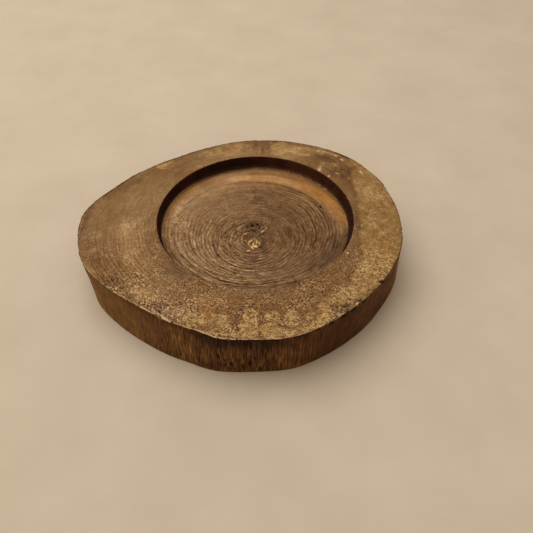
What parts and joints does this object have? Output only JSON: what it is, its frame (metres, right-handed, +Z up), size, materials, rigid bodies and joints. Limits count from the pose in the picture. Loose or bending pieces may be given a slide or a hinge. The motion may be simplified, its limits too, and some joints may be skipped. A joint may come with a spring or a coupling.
{
  "type": "saucer",
  "caption": "Slice of a trunk with its bark trimmed off and a round, flat-bottomed recess turned into the top, used as a saucer under a cup or tea glass.",
  "frame": {"origin": "on the underside, on the axis of the recess", "axes": "+Z up out of the recess, +X along the slice's length away from its blunt point, -Y towards its trimmed front flat"},
  "size_m": [0.1137, 0.1011, 0.018],
  "materials": {
    "weathered_wood": "worn, unvarnished end grain with growth rings, ochre blotches on the rim and a darker fibrous side"
  },
  "bodies": {
    "root": {"saucer": "weathered_wood"}
  },
  "joints": []
}
